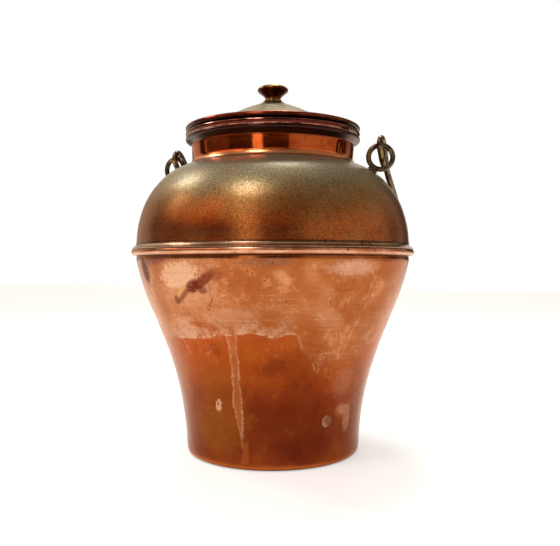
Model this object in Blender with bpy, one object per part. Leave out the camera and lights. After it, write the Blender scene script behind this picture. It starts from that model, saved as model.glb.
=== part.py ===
"""Lidded copper pot with a brass knob and a swinging brass bail.

Sheet-metal vessel in three turned shells: a tapered lower shell, a domed shoulder and a neck collar,
with a flat base disc. The free edges are rolled round wires. Two eye bolts are riveted through the
shoulder, and the bail's bent ends hook through their eyes. The lid lifts out on its skirt.

Frame: metres, +Z up, origin on the resting plane at the middle of the base. +X runs through the right
eye bolt along the bail's swing axis, -Y is the front, and the bail rests folded back towards +Y.
"""

import math

import bmesh
import bpy
from mathutils import Matrix, Vector

# ---------------------------------------------------------------- driving dimensions
SEGMENTS = 32  # facets round every turned shell
SMALL_SEGMENTS = 12  # facets round bolts, washers and screws
KNOB_SEGMENTS = 20
WIRE_SIDES = 6
ROLL_STEPS = 6  # facets round a rolled edge
GAP = 0.0003  # left between pieces that touch
SHEET = 0.0010  # lower shell, shoulder and base
THIN_SHEET = 0.0008  # neck collar, lid and skirt

BASE_FILLET = 0.0045
BASE_FLAT_RADIUS = 0.0770  # where the lower shell starts to turn up
LIP_RADIUS = 0.0735  # inner edge of the lower shell's turned-in lip
BASE_SADDLE_RADIUS = 0.0705  # the base disc is flush with the lip inside this radius
BASE_FLANGE_TOP = 0.0130

BELT_RADIUS = 0.1297  # middle of the wire in the belt bead
BELT_HEIGHT = 0.1873
BELT_WIRE = 0.0020  # wire radius

NECK_RADIUS = 0.0774
RIM_RADIUS = 0.0807  # middle of the wire in the neck's rim
RIM_HEIGHT = 0.2980
RIM_WIRE = 0.0013

LID_EDGE_RADIUS = 0.0806  # middle of the wire in the lid's edge
LID_EDGE_HEIGHT = 0.3032
LID_WIRE = 0.0014
LID_CENTRE_HEIGHT = 0.3312
SKIRT_RADIUS = 0.0750
SKIRT_BOTTOM = 0.2815

SCREW_RADIUS = 0.0020
SCREW_HOLE = 0.0024

LUG_RADIUS = {"right": 0.0966, "left": 0.0982}  # where each hand-set eye bolt goes through the shoulder
EYE_STANDOFF = 0.0145  # from the shoulder's surface to the middle of the eye
EYE_RADIUS = 0.0109  # middle of the eye's wire
EYE_WIRE = 0.0020
EYE_TWIST = {"right": 20.0, "left": -10.0}  # degrees, turning each eye's outer edge towards the back
SHANK_RADIUS = 0.0030
SHANK_HOLE = 0.0034

BAIL_SHIFT = 0.0016  # the loose bail hangs this far to the right of centre
BAIL_SKEW = 0.035  # how fast its arms lean to the left on the way to the arch
BAIL_HALF_SPAN = 0.1041  # from the bail's middle to the round end of each loop
BAIL_REACH = 0.1710  # from the swing axis to the top of the arch
BAIL_DROP = 36.0  # degrees below level at rest, where the arch leans on the belt
BAIL_ROD = 0.0030
BAIL_GRIP = 0.0040
LOOP_RADIUS = 0.0072
LOOP_HANG = 0.0012  # the eye's wire sits this far above the middle of each loop's round end
LOOP_ROD = 0.0024

# Outer surfaces as (radius, height), each listed the way its sheet is walked from its lower or outer edge
LOWER_WALL = [
    (0.0826, 0.020),
    (0.0849, 0.040),
    (0.0886, 0.060),
    (0.0938, 0.080),
    (0.1005, 0.100),
    (0.1081, 0.120),
    (0.1163, 0.140),
    (0.1234, 0.160),
    (0.1272, 0.175),
    (0.1284, 0.181),
    (0.1279, 0.1845),
]
SHOULDER_FLANGE = [(0.1326, 0.1908), (0.1313, 0.1917), (0.1300, 0.1926), (0.1289, 0.1940)]
SHOULDER_WALL = [
    (0.1283, 0.1970),
    (0.1277, 0.2050),
    (0.1264, 0.2130),
    (0.1240, 0.2220),
    (0.1204, 0.2320),
    (0.1150, 0.2420),
    (0.1085, 0.2505),
    (0.1010, 0.2580),
    (0.0925, 0.2637),
    (0.0840, 0.2678),
    (0.0778, 0.2702),
]
NECK_FLARE = [
    (0.0776, 0.2862),
    (0.0792, 0.2880),
    (0.0814, 0.2902),
    (0.0828, 0.2924),
    (0.0828, 0.2942),
    (0.0820, 0.2954),
]
LID_TOP = [
    (0.0775, 0.3050),
    (0.0720, 0.3055),
    (0.0670, 0.3066),
    (0.0600, 0.3088),
    (0.0500, 0.3128),
    (0.0390, 0.3178),
    (0.0283, 0.3228),
    (0.0214, 0.3256),
    (0.0137, 0.3286),
    (0.0115, 0.3298),
    (0.0095, 0.3312),
]
KNOB_SIDE = [
    (0.0084, 0.0000),
    (0.0084, 0.0012),
    (0.0074, 0.0022),
    (0.0076, 0.0036),
    (0.0096, 0.0058),
    (0.0130, 0.0084),
    (0.0146, 0.0102),
    (0.0144, 0.0118),
    (0.0128, 0.0134),
    (0.0080, 0.0149),
]
KNOB_HEIGHT = 0.0155
KNOB_HOLE_DEPTH = 0.0105

# Half the bail's outline as (distance from its middle, distance from the swing axis)
BAIL_OUTLINE = [
    (0.1040, 0.034),
    (0.1052, 0.055),
    (0.1066, 0.078),
    (0.1050, 0.100),
    (0.0970, 0.126),
    (0.0810, 0.1480),
    (0.0550, 0.1630),
    (0.0270, 0.1695),
]
# The two sides of an end loop as (distance along the arm, distance above it): from the rod's tip to the
# round end, then from the round end back to the arm
LOOP_TIP = [(0.0250, -0.0038), (0.0185, -0.0070), (0.0090, -0.0090)]
LOOP_BACK = [(0.0090, 0.0060), (0.0175, 0.0046), (0.0250, 0.0018)]


# ---------------------------------------------------------------- materials
def metal(name, colour, roughness):
    material = bpy.data.materials.new(name)
    material.use_nodes = True
    shader = material.node_tree.nodes["Principled BSDF"]
    shader.inputs["Base Color"].default_value = (*colour, 1.0)
    shader.inputs["Roughness"].default_value = roughness
    shader.inputs["Metallic"].default_value = 1.0
    return material


# ---------------------------------------------------------------- turned profiles
def arc(centre, radius, start, end, count):
    """Points on a circle in the (radius, height) plane, from one angle to another in degrees."""
    points = []
    for i in range(count + 1):
        angle = math.radians(start + (end - start) * i / count)
        points.append((centre[0] + radius * math.cos(angle), centre[1] + radius * math.sin(angle)))
    return points


def left_offset(path, distance):
    """The path moved to its left by a distance, with mitred corners."""
    moved = []
    for i, (r, z) in enumerate(path):
        normals = []
        for a, b in ((i - 1, i), (i, i + 1)):
            if 0 <= a and b < len(path):
                step = Vector((path[b][0] - path[a][0], path[b][1] - path[a][1])).normalized()
                normals.append(Vector((-step.y, step.x)))
        mean = sum(normals, Vector((0.0, 0.0))).normalized()
        reach = distance / max(0.6, mean.dot(normals[0]))
        moved.append((max(0.0, r + mean.x * reach), z + mean.y * reach))
    return moved


def sheet_section(path, thickness):
    """The closed section of a sheet whose outer surface follows the path, with its thickness to the left."""
    return path + left_offset(path, thickness)[::-1]


def turned_mesh(name, section, segments):
    """A mesh made by turning a closed (radius, height) section about Z."""
    work = bmesh.new()
    rings = []
    for r, z in section:
        if r < 1e-6:
            rings.append([work.verts.new((0.0, 0.0, z))] * segments)
            continue
        ring = []
        for i in range(segments):
            angle = 2 * math.pi * i / segments
            ring.append(work.verts.new((r * math.cos(angle), r * math.sin(angle), z)))
        rings.append(ring)
    for a, b in zip(rings, rings[1:] + rings[:1]):
        for i in range(segments):
            j = (i + 1) % segments
            corners = list(dict.fromkeys((a[i], a[j], b[j], b[i])))
            if len(corners) > 2:
                work.faces.new(corners)
    bmesh.ops.recalc_face_normals(work, faces=work.faces)
    mesh = bpy.data.meshes.new(name)
    work.to_mesh(mesh)
    work.free()
    mesh.shade_smooth()
    mesh.set_sharp_from_angle(angle=math.radians(35))
    return mesh


def add_object(name, data, material, matrix=None):
    obj = bpy.data.objects.new(name, data)
    bpy.context.scene.collection.objects.link(obj)
    if material:
        data.materials.append(material)
    if matrix:
        obj.matrix_world = matrix
    return obj


def turned(name, section, material, segments=SEGMENTS, matrix=None):
    return add_object(name, turned_mesh(name, section, segments), material, matrix)


def wire_ring(name, ring_radius, height, wire_radius, material):
    """A closed ring of round wire, lying inside a rolled edge."""
    section = arc((ring_radius, height), wire_radius, 0, 360 - 360 / WIRE_SIDES, WIRE_SIDES - 1)
    return turned(name, section, material)


def helper(obj):
    """Marks an object that only cuts or joins another."""
    obj.hide_render = True
    obj.display_type = "WIRE"
    return obj


def combine(obj, other, operation):
    modifier = obj.modifiers.new(operation.title(), "BOOLEAN")
    modifier.object = helper(other)
    modifier.operation = operation
    modifier.solver = "EXACT"


# ---------------------------------------------------------------- the vessel
def lug_frames():
    """For each eye bolt, a matrix whose origin is on the shoulder's surface and whose +Z is its outward normal."""
    frames = {}
    for side, turn in (("right", 0.0), ("left", math.pi)):
        radius = LUG_RADIUS[side]
        for (r0, z0), (r1, z1) in zip(SHOULDER_WALL, SHOULDER_WALL[1:]):
            if r1 <= radius <= r0:
                place = Matrix.Translation((radius, 0.0, z0 + (z1 - z0) * (r0 - radius) / (r0 - r1)))
                lean = Matrix.Rotation(math.atan2(z1 - z0, r0 - r1), 4, "Y")
                frames[side] = Matrix.Rotation(turn, 4, "Z") @ place @ lean
    return frames


def make_vessel(copper, wire):
    lip = [(LIP_RADIUS, 0.0)]
    fillet = arc((BASE_FLAT_RADIUS, BASE_FILLET), BASE_FILLET, -90, -4, 3)
    curl = arc((BELT_RADIUS, BELT_HEIGHT), BELT_WIRE + GAP, 180, -115, ROLL_STEPS)
    turned("lower_shell", sheet_section(lip + fillet + LOWER_WALL + curl, SHEET), copper)
    wire_ring("belt_wire", BELT_RADIUS, BELT_HEIGHT, BELT_WIRE, wire)

    inner_fillet = arc((BASE_FLAT_RADIUS, BASE_FILLET), BASE_FILLET - SHEET - GAP, -90, 0, 3)
    saddle = [(0.0, 0.0), (BASE_SADDLE_RADIUS, 0.0), (BASE_SADDLE_RADIUS + 0.0017, SHEET + GAP)]
    flange = [(BASE_FLAT_RADIUS + BASE_FILLET - SHEET - GAP + 0.0002, BASE_FLANGE_TOP)]
    turned("base_disc", sheet_section(saddle + inner_fillet + flange, SHEET), copper)

    shoulder = turned("shoulder_shell", sheet_section(SHOULDER_FLANGE + SHOULDER_WALL, SHEET), copper)
    for side, frame in lug_frames().items():
        hole = [(0.0, -0.006), (SHANK_HOLE, -0.006), (SHANK_HOLE, 0.006), (0.0, 0.006)]
        combine(shoulder, turned(f"{side}_hole", hole, None, SMALL_SEGMENTS, frame), "DIFFERENCE")

    foot = [(0.0850, 0.2640), (0.0800, 0.2655), (NECK_RADIUS, 0.2675), (NECK_RADIUS, 0.2850)]
    rim = arc((RIM_RADIUS, RIM_HEIGHT), RIM_WIRE + GAP + THIN_SHEET, -40, 235, ROLL_STEPS)
    turned("neck_collar", sheet_section(foot + NECK_FLARE + rim, THIN_SHEET), copper)
    wire_ring("neck_rim_wire", RIM_RADIUS, RIM_HEIGHT, RIM_WIRE, wire)


# ---------------------------------------------------------------- the lid
def lid_height(radius):
    """Height of the lid's top surface at a radius."""
    for (r0, z0), (r1, z1) in zip(LID_TOP, LID_TOP[1:]):
        if r1 <= radius <= r0:
            return z0 + (z1 - z0) * (radius - r0) / (r1 - r0)
    return LID_CENTRE_HEIGHT


def make_lid(copper, brass, wire):
    edge = arc((LID_EDGE_RADIUS, LID_EDGE_HEIGHT), LID_WIRE + GAP + THIN_SHEET, -160, 90, ROLL_STEPS)
    centre = [(SCREW_HOLE, LID_CENTRE_HEIGHT)]
    turned("lid_dome", sheet_section(edge + LID_TOP + centre, THIN_SHEET), copper)
    wire_ring("lid_edge_wire", LID_EDGE_RADIUS, LID_EDGE_HEIGHT, LID_WIRE, wire)

    flange = []
    for radius in (SKIRT_RADIUS - 0.0012, SKIRT_RADIUS - 0.0075):
        flange.append((radius, lid_height(radius) - THIN_SHEET - 2 * GAP))
    side = [(SKIRT_RADIUS, SKIRT_BOTTOM), (SKIRT_RADIUS, flange[0][1] - 0.0012)]
    turned("lid_skirt", sheet_section(side + flange, THIN_SHEET), copper)

    seat = LID_CENTRE_HEIGHT + GAP
    section = [(r, seat + z) for r, z in KNOB_SIDE]
    section += [(0.0, seat + KNOB_HEIGHT), (0.0, seat + KNOB_HOLE_DEPTH)]
    section += [(SCREW_HOLE, seat + KNOB_HOLE_DEPTH), (SCREW_HOLE, seat)]
    turned("knob", section, brass, KNOB_SEGMENTS)

    under = LID_CENTRE_HEIGHT - THIN_SHEET - GAP
    washer = [(SCREW_HOLE, under - 0.0010), (0.0065, under - 0.0010), (0.0065, under), (SCREW_HOLE, under)]
    turned("knob_washer", washer, brass, SMALL_SEGMENTS)
    head = under - 0.0010 - GAP
    screw = [
        (0.0, head - 0.0024),
        (0.0030, head - 0.0021),
        (0.0044, head - 0.0008),
        (0.0044, head),
        (SCREW_RADIUS, head),
        (SCREW_RADIUS, seat + KNOB_HOLE_DEPTH - 0.0010),
        (0.0, seat + KNOB_HOLE_DEPTH - 0.0010),
    ]
    turned("knob_screw", screw, brass, SMALL_SEGMENTS)


# ---------------------------------------------------------------- eye bolts
def make_lugs(brass):
    for side, frame in lug_frames().items():
        bpy.ops.mesh.primitive_torus_add(
            major_radius=EYE_RADIUS,
            minor_radius=EYE_WIRE,
            major_segments=24,
            minor_segments=8,
            rotation=(math.pi / 2, 0.0, math.radians(EYE_TWIST[side])),
            location=frame @ Vector((0.0, 0.0, EYE_STANDOFF)),
        )
        eye = bpy.context.object
        eye.name = f"lug_{side}"
        eye.data.materials.append(brass)
        eye.data.shade_smooth()
        bolt = [
            (0.0, -0.0056),
            (0.0028, -0.0053),
            (0.0046, -0.0042),
            (0.0048, -0.0034),
            (SHANK_RADIUS, -0.0034),
            (SHANK_RADIUS, GAP),
            (0.0050, GAP),
            (0.0050, 0.0012),
            (0.0038, 0.0020),
            (0.0036, 0.0034),
            (0.0022, 0.0048),
            (0.0, 0.0048),
        ]
        combine(eye, turned(f"{side}_bolt", bolt, None, SMALL_SEGMENTS, frame), "UNION")
        washer = [
            (SHANK_HOLE, -0.0031),
            (0.0064, -0.0031),
            (0.0064, -0.0020),
            (SHANK_HOLE, -0.0020),
        ]
        turned(f"lug_washer_{side}", washer, brass, SMALL_SEGMENTS, frame)


# ---------------------------------------------------------------- bail
def smooth_path(points, per_span):
    """A Catmull-Rom curve through the points."""
    curve = []
    ends = [points[0] * 2 - points[1], *points, points[-1] * 2 - points[-2]]
    for a, b, c, d in zip(ends, ends[1:], ends[2:], ends[3:]):
        for i in range(per_span):
            t = i / per_span
            curve.append(
                0.5 * (2 * b + (c - a) * t + (2 * a - 5 * b + 4 * c - d) * t * t + (3 * b - a - 3 * c + d) * t**3)
            )
    curve.append(points[-1])
    return curve


def bail_half(side):
    """One half of the bail, tip first, as points (across, along the arm, above it)."""
    loop = [(s, n) for s, n in LOOP_TIP]
    for angle in range(270, 89, -30):
        a = math.radians(angle)
        loop.append((LOOP_RADIUS * math.cos(a), LOOP_RADIUS * math.sin(a) - LOOP_HANG))
    loop += LOOP_BACK
    half = [Vector((side * BAIL_HALF_SPAN, s, n)) for s, n in loop]
    return half + [Vector((side * across, s, 0.0)) for across, s in BAIL_OUTLINE]


def hook_point(side):
    """Where the swing axis crosses an eye's wire, on the upper half of the eye."""
    eye = lug_frames()[side] @ Vector((0.0, 0.0, EYE_STANDOFF))
    x = BAIL_SHIFT + (BAIL_HALF_SPAN if side == "right" else -BAIL_HALF_SPAN)
    reach = (x - eye.x) / math.cos(math.radians(EYE_TWIST[side]))
    return Vector((x, 0.0, eye.z + math.sqrt(EYE_RADIUS**2 - reach**2)))


def make_bail(brass):
    left_hook, right_hook = hook_point("left"), hook_point("right")
    points = bail_half(1) + [Vector((0.0, BAIL_REACH, 0.0))] + bail_half(-1)[::-1]
    curve = bpy.data.curves.new("bail", "CURVE")
    curve.dimensions = "3D"
    curve.bevel_depth = 1.0
    curve.bevel_resolution = 2
    curve.use_fill_caps = True
    path = smooth_path(points, 2)
    spline = curve.splines.new("POLY")
    spline.points.add(len(path) - 1)
    for place, point in zip(spline.points, path):
        place.co = (point.x - BAIL_SKEW * max(0.0, point.y), point.y, point.z, 1.0)
        grip = min(1.0, max(0.0, (0.062 - abs(point.x)) / 0.020))
        end = min(1.0, max(0.0, (0.045 - point.y) / 0.020))
        place.radius = BAIL_ROD + (BAIL_GRIP - BAIL_ROD) * grip + (LOOP_ROD - BAIL_ROD) * end
    for tip in (spline.points[0], spline.points[-1]):
        tip.radius = LOOP_ROD * 0.6

    axis = (right_hook - left_hook).normalized()
    level = Matrix.Rotation(-math.asin(axis.z), 4, "Y")
    drop = Matrix.Rotation(-math.radians(BAIL_DROP), 4, "X")
    middle = (left_hook + right_hook) / 2
    add_object("bail", curve, brass, Matrix.Translation(middle) @ level @ drop)
    print("swing axis through", tuple(middle), "along", tuple(axis))


def main():
    for obj in list(bpy.data.objects):
        bpy.data.objects.remove(obj)
    copper = metal("copper_sheet", (0.55, 0.20, 0.08), 0.32)
    brass = metal("aged_brass", (0.38, 0.27, 0.11), 0.42)
    wire = metal("edge_wire", (0.16, 0.15, 0.14), 0.55)
    make_vessel(copper, wire)
    make_lid(copper, brass, wire)
    make_lugs(brass)
    make_bail(brass)


main()
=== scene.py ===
"""Looks of the lidded copper pot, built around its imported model."""

import math
import random

import bmesh
import bpy
from mathutils import Matrix, Vector, noise


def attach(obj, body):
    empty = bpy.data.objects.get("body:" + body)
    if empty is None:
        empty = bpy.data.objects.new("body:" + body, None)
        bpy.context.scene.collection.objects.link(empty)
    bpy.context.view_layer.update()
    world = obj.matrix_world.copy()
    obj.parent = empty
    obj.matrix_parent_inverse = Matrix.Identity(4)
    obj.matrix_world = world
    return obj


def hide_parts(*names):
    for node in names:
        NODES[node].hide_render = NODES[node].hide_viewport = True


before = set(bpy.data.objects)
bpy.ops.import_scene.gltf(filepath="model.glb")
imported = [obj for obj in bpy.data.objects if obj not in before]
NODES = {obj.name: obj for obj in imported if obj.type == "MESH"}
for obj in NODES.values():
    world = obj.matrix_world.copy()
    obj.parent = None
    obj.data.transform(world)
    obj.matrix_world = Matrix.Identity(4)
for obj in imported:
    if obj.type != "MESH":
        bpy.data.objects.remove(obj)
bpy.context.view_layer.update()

# ---------------------------------------------------------------- sizes, in metres
MM = 1000.0
SEGMENTS = 256  # round a turned shape
FINE = 0.0009  # between the points of a refined outline
CORNER = 62.0  # degrees: an outline that turns by more has a corner there
ON_AXIS = 1e-5

# hammered walls, in millimetres: lowest and highest place, and how far in the unevenness takes to grow
LOWER_WALL = (12.0, 176.0, 25.0)
SHOULDER_WALL = (198.0, 262.0, 14.0)
BELT = 190.0
BROAD_DENT = 0.00034
SMALL_DENT = 0.00007

# the neck: from where to where its foot spreads and by how much, and the turn that pulls in under its rim
NECK_FOOT, NECK_FOOT_TOP, NECK_SPREAD = 0.2700, 0.2762, 0.0023
RIM_TURN, RIM_TURN_MIDDLE, RIM_TURN_TOP, RIM_TURN_DEPTH = 0.2855, 0.2880, 0.2920, 0.0018

# the eye bolts: how far an eye stands off the shoulder, its ring, and the lean and foot of each bolt
EYE_STANDOFF = 0.0145
EYE_RADIUS = 0.0109
EYE_WIRE = 0.0024
EYE_POINTS = 120
LUG_VOXEL = 0.00030
LUG_LEAN = math.atan2(0.0057, 0.0085)
LUGS = {
    "right": {"turn": 0.0, "foot": (0.0966, 0.260951), "twist": 20.0},
    "left": {"turn": math.pi, "foot": (0.0982, 0.259878), "twist": -10.0},
}
# a bolt's (radius, height) outline, from its peened end to its neck
BOLT = [
    (0.0, -0.0056), (0.0028, -0.0053), (0.0046, -0.0042), (0.0048, -0.0034), (0.0030, -0.0034),
    (0.0030, 0.0003), (0.0050, 0.0003), (0.0050, 0.0012), (0.0038, 0.0020), (0.0036, 0.0034),
    (0.0022, 0.0048), (0.0, 0.0048),
]

# the bail: a little to one side and askew, and folded back by degrees below level
BAIL_SHIFT = 0.0016
BAIL_SKEW = 0.035
BAIL_HALF_SPAN = 0.1041
BAIL_REACH = 0.1710
BAIL_DROP = 36.0
BAIL_STEP = 0.0012  # between the points of its centre line
BAIL_ROD = 0.0030  # radii of the rod, of its grip and of its loops
BAIL_GRIP = 0.0040
LOOP_ROD = 0.0028
GRIP_HALF = 0.062
LOOP_END = 0.045
FADE = 0.020  # over which one radius turns into another
LOOP_RADIUS = 0.0072
LOOP_HANG = 0.0012
# half the bow in its own plane, as (across, out) places
BAIL_OUTLINE = [
    (0.1040, 0.034), (0.1052, 0.055), (0.1066, 0.078), (0.1050, 0.100),
    (0.0970, 0.126), (0.0810, 0.1480), (0.0550, 0.1630), (0.0270, 0.1695),
]
# a hook's tip and back on either side of its loop, as (out, up) places
LOOP_TIP = [(0.0250, -0.0038), (0.0185, -0.0070), (0.0090, -0.0090)]
LOOP_BACK = [(0.0090, 0.0060), (0.0175, 0.0046), (0.0250, 0.0018)]

# the lumps in the crease above the belt: how many, how many of them in one group and how many large, the
# heights between which they lie, and the band of the shoulder whose outer edge they sit on
CRUMBS, GROUPED, LARGE = 26, 18, 8
CREASE = (0.1946, 0.1958)
CRUMB_SEAT, CRUMB_BAND = 0.1955, 0.0020


# ---------------------------------------------------------------- turned shapes
def cad_section(node):
    """The (radius, height) outline of a turned CAD node, and whether it is closed without the axis."""
    mesh = NODES[node].data
    places, cut = {}, {}
    for v in mesh.vertices:
        if abs(v.co.x) < 2e-6 and v.co.y > -2e-6:
            cut[v.index] = places.setdefault((round(v.co.y, 5), round(v.co.z, 5)), len(places))
    joined = {i: set() for i in places.values()}
    for edge in mesh.edges:
        a, b = (cut.get(i) for i in edge.vertices)
        if a is not None and b is not None and a != b:
            joined[a].add(b)
            joined[b].add(a)
    ends = sorted(i for i, others in joined.items() if len(others) == 1)
    walk = [ends[0] if ends else 0]
    while True:
        onward = sorted(i for i in joined[walk[-1]] if i not in walk[-2:] and i not in walk)
        if not onward:
            break
        walk.append(onward[0])
    order = {i: place for place, i in places.items()}
    outline = [order[i] for i in walk]
    if ends:
        if outline[0][0] > ON_AXIS:
            outline.insert(0, (0.0, outline[0][1]))
        if outline[-1][0] > ON_AXIS:
            outline.append((0.0, outline[-1][1]))
    area = sum(a[0] * b[1] - b[0] * a[1] for a, b in zip(outline, outline[1:] + outline[:1]))
    return (outline if area > 0 else outline[::-1]), not ends


def curve_point(a, b, c, d, t):
    """A point between b and c on the centripetal Catmull-Rom curve through four points."""
    knots = [0.0]
    for p, q in ((a, b), (b, c), (c, d)):
        knots.append(knots[-1] + max(1e-9, (q - p).length) ** 0.5)
    u = knots[1] + (knots[2] - knots[1]) * t

    def along(p, q, i, j):
        return p * ((knots[j] - u) / (knots[j] - knots[i])) + q * ((u - knots[i]) / (knots[j] - knots[i]))

    ab, bc, cd = along(a, b, 0, 1), along(b, c, 1, 2), along(c, d, 2, 3)
    abc = ab * ((knots[2] - u) / (knots[2] - knots[0])) + bc * ((u - knots[0]) / (knots[2] - knots[0]))
    bcd = bc * ((knots[3] - u) / (knots[3] - knots[1])) + cd * ((u - knots[1]) / (knots[3] - knots[1]))
    return abc * ((knots[2] - u) / (knots[2] - knots[1])) + bcd * ((u - knots[1]) / (knots[2] - knots[1]))


def refined(outline, closed, step=FINE):
    """The outline with its smooth runs rounded by more points and its corners kept."""
    points = [Vector(p) for p in outline]
    count = len(points)
    spans = range(count if closed else count - 1)

    def sharp(i):
        if not closed and i in (0, count - 1):
            return False
        before, after = points[i] - points[i - 1], points[(i + 1) % count] - points[i]
        return math.degrees(before.angle(after)) > CORNER

    def beyond(i, back):
        """The neighbour past the end of a run: mirrored at the axis, or straight on at a corner."""
        if not closed and i in (0, count - 1):
            return Vector((-points[back].x, points[back].y))
        return points[i] * 2 - points[back]

    fine = []
    for i in spans:
        j = (i + 1) % count
        at_start = not closed and i == 0
        at_end = not closed and j == count - 1
        a = beyond(i, j) if at_start or sharp(i) else points[i - 1]
        d = beyond(j, i) if at_end or sharp(j) else points[(j + 1) % count]
        pieces = max(1, min(24, round((points[j] - points[i]).length / step)))
        fine += [curve_point(a, points[i], points[j], d, k / pieces) for k in range(pieces)]
    if not closed:
        fine.append(points[-1])
    return [(max(0.0, p.x), p.y) for p in fine]


def turn(name, section, segments=SEGMENTS, shift=None):
    """A closed (radius, height) section turned about Z, each point moved outwards by shift(angle, z)."""
    work = bmesh.new()
    rings = []
    for r, z in section:
        if r < ON_AXIS:
            rings.append([work.verts.new((0.0, 0.0, z))] * segments)
            continue
        ring = []
        for i in range(segments):
            angle = 2 * math.pi * i / segments
            out = r + (shift(angle, z) if shift else 0.0)
            ring.append(work.verts.new((out * math.cos(angle), out * math.sin(angle), z)))
        rings.append(ring)
    for a, b in zip(rings, rings[1:] + rings[:1]):
        for i in range(segments):
            j = (i + 1) % segments
            corners = list(dict.fromkeys((a[i], a[j], b[j], b[i])))
            if len(corners) > 2:
                work.faces.new(corners)
    bmesh.ops.recalc_face_normals(work, faces=work.faces)
    return finished(name, work)


def finished(name, work, angle=38.0):
    """A smooth-shaded object made from a bmesh."""
    mesh = bpy.data.meshes.new(name)
    work.to_mesh(mesh)
    work.free()
    mesh.shade_smooth()
    mesh.set_sharp_from_angle(angle=math.radians(angle))
    obj = bpy.data.objects.new(name, mesh)
    bpy.context.scene.collection.objects.link(obj)
    return obj


def hand_raised(angle, z):
    """How far the hammered wall stands out from a true circle; nothing at its seams and edges."""
    height = z * MM
    low, high, fade = SHOULDER_WALL if height > BELT else LOWER_WALL
    mask = min(1.0, max(0.0, (height - low) / fade), max(0.0, (high - height) / fade))
    slow = noise.noise(Vector((math.cos(angle) * 1.3, math.sin(angle) * 1.3, height / 60)))
    fast = noise.noise(Vector((math.cos(angle) * 5.0, math.sin(angle) * 5.0, height / 21 + 40)))
    return mask * (BROAD_DENT * slow + SMALL_DENT * fast)


def neck_shape(_, z):
    """The neck's spread where it is seamed down onto the shoulder, and the tight turn under its rim."""
    if NECK_FOOT <= z < NECK_FOOT_TOP:
        return NECK_SPREAD * (1.0 - (z - NECK_FOOT) / (NECK_FOOT_TOP - NECK_FOOT)) ** 2
    if RIM_TURN < z <= RIM_TURN_MIDDLE:
        return -RIM_TURN_DEPTH * ((z - RIM_TURN) / (RIM_TURN_MIDDLE - RIM_TURN)) ** 2
    if RIM_TURN_MIDDLE < z < RIM_TURN_TOP:
        return -RIM_TURN_DEPTH * (1.0 - ((z - RIM_TURN_MIDDLE) / (RIM_TURN_TOP - RIM_TURN_MIDDLE)) ** 2)
    return 0.0


def place(obj, body, slot, material, *replaced):
    """The object gets its material and rides on its body in place of its CAD nodes."""
    obj.data.materials.clear()
    obj.data.materials.append(material)
    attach(obj, body)
    if replaced:
        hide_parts(*replaced)


def turned_piece(name, node, body, slot, material, segments=SEGMENTS, shift=None, step=FINE):
    """A turned CAD node made again, rounder and finer, in its place."""
    outline, closed = cad_section(node)
    section = [(r, max(0.0, z)) for r, z in refined(outline, closed, step)]
    place(turn(name, section, segments, shift), body, slot, material, node)


# ---------------------------------------------------------------- rods
def tube(path, radius_at, sides=24, closed=False):
    """A bmesh tube along a path of points, with its radius from radius_at(index, angle) and rounded ends."""
    work = bmesh.new()
    count = len(path)
    rings = []
    across = None
    for i, point in enumerate(path):
        before = path[i - 1] if closed or i else path[i]
        after = path[(i + 1) % count] if closed or i < count - 1 else path[i]
        ahead = (after - before).normalized()
        if across is None:
            across = ahead.orthogonal().normalized()
        across = (across - ahead * across.dot(ahead)).normalized()
        side = ahead.cross(across)
        ring = []
        for k in range(sides):
            angle = 2 * math.pi * k / sides
            reach = radius_at(i, angle)
            ring.append(work.verts.new(point + (across * math.cos(angle) + side * math.sin(angle)) * reach))
        rings.append(ring)
    pairs = list(zip(rings, rings[1:] + rings[:1])) if closed else list(zip(rings, rings[1:]))
    for a, b in pairs:
        for k in range(sides):
            j = (k + 1) % sides
            work.faces.new((a[k], a[j], b[j], b[k]))
    if not closed:
        for ring, point, inward in ((rings[0], path[0], path[1]), (rings[-1], path[-1], path[-2])):
            tip = work.verts.new(point + (point - inward).normalized() * radius_at(0, 0.0) * 0.12)
            for k in range(sides):
                work.faces.new((ring[k], ring[(k + 1) % sides], tip))
    bmesh.ops.recalc_face_normals(work, faces=work.faces)
    return work


def remeshed(obj, voxel, smooth):
    """The object's shell joined into one skin and eased at its joins."""
    weld = obj.modifiers.new("weld", "REMESH")
    weld.mode = "VOXEL"
    weld.voxel_size = voxel
    weld.use_smooth_shade = True
    ease = obj.modifiers.new("ease", "CORRECTIVE_SMOOTH")
    ease.iterations = smooth
    ease.use_only_smooth = True
    fixed = bpy.data.meshes.new_from_object(obj.evaluated_get(bpy.context.evaluated_depsgraph_get()))
    obj.modifiers.clear()
    obj.data = fixed
    fixed.shade_smooth()
    return obj


def lug_frame(side):
    """Where an eye bolt stands on the shoulder, its own Z along its shank."""
    lug = LUGS[side]
    out, up = lug["foot"]
    return (
        Matrix.Rotation(lug["turn"], 4, "Z")
        @ Matrix.Translation((out, 0.0, up))
        @ Matrix.Rotation(LUG_LEAN, 4, "Y")
    )


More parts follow.
